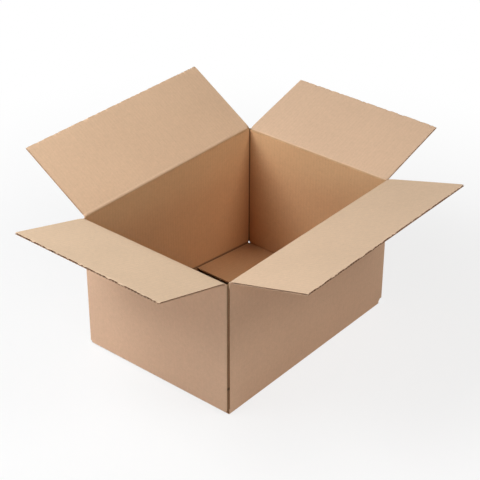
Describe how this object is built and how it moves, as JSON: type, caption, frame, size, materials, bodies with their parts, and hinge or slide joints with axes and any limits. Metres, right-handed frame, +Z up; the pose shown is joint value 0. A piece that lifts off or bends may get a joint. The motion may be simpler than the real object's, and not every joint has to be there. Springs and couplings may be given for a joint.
{
  "type": "open corrugated cardboard box",
  "caption": "Slotted box of corrugated board with a closed, taped bottom and hinged top flaps folded open.",
  "frame": {"origin": "centre of the underside, where the box stands", "axes": "+X along the longer side, +Y to the rear wall, +Z up"},
  "size_m": [0.7361, 0.5968, 0.3422],
  "materials": {
    "kraft_board": "matte uncoated kraft liner",
    "kraft_flap": "matte uncoated kraft liner",
    "tape": "brown packing tape"
  },
  "bodies": {
    "box": {"box_body": "kraft_board", "bottom_tape": "tape"},
    "front_flap": {"front_flap": "kraft_flap"},
    "rear_flap": {"rear_flap": "kraft_flap"},
    "left_flap": {"left_flap": "kraft_flap"},
    "right_flap": {"right_flap": "kraft_flap"}
  },
  "joints": [
    {"name": "front_crease", "type": "hinge", "parent": "box", "child": "front_flap", "pos_m": [0, -0.157, 0.2564], "axis": [1, 0, 0], "range_deg": [-163.5, 66.5]},
    {"name": "rear_crease", "type": "hinge", "parent": "box", "child": "rear_flap", "pos_m": [0, 0.157, 0.2564], "axis": [-1, 0, 0], "range_deg": [-147.5, 82.5]},
    {"name": "left_crease", "type": "hinge", "parent": "box", "child": "left_flap", "pos_m": [-0.217, 0, 0.2531], "axis": [0, -1, 0], "range_deg": [-165, 65]},
    {"name": "right_crease", "type": "hinge", "parent": "box", "child": "right_flap", "pos_m": [0.217, 0, 0.2531], "axis": [0, 1, 0], "range_deg": [-164, 66]}
  ]
}
